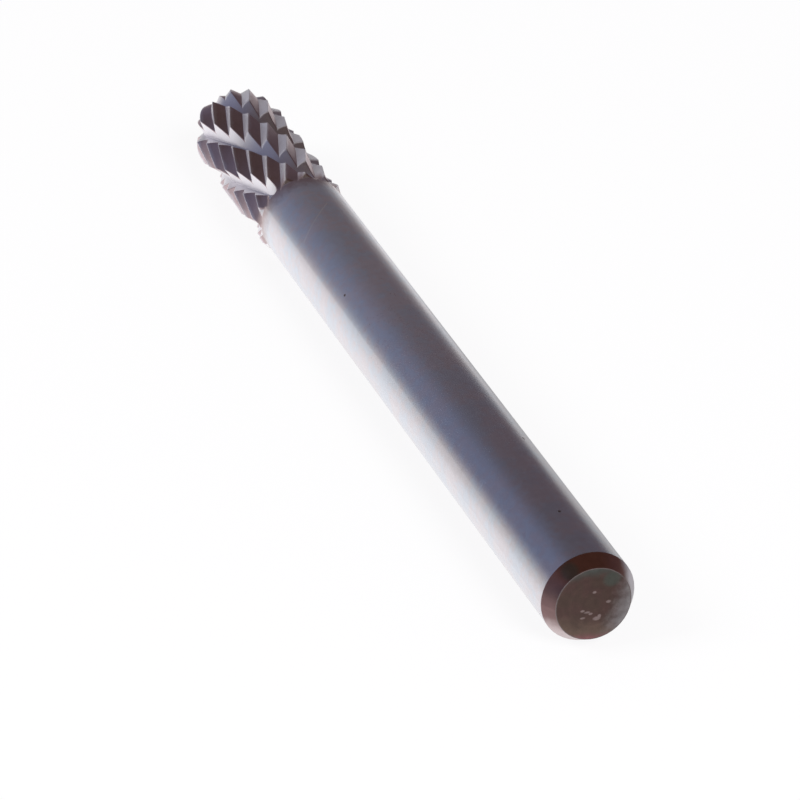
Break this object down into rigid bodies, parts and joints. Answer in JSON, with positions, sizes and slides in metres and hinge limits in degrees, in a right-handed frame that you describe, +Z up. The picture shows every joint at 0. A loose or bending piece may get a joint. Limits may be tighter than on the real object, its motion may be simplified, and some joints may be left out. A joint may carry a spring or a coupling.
{
  "type": "carbide burr",
  "caption": "Solid carbide burr: a plain round shank with a bevelled end, and a ball-nosed head cut with crossing helical teeth for shaping and deburring.",
  "frame": {"origin": "middle of the tool's length and width, at the plane that its lowest teeth touch as it lies", "axes": "+X along the tool from the shank end to the nose, +Z up from the surface it lies on"},
  "size_m": [0.0382, 0.0034, 0.0034],
  "materials": {
    "carbide": "ground tungsten carbide"
  },
  "bodies": {
    "root": {"burr": "carbide"}
  },
  "joints": []
}
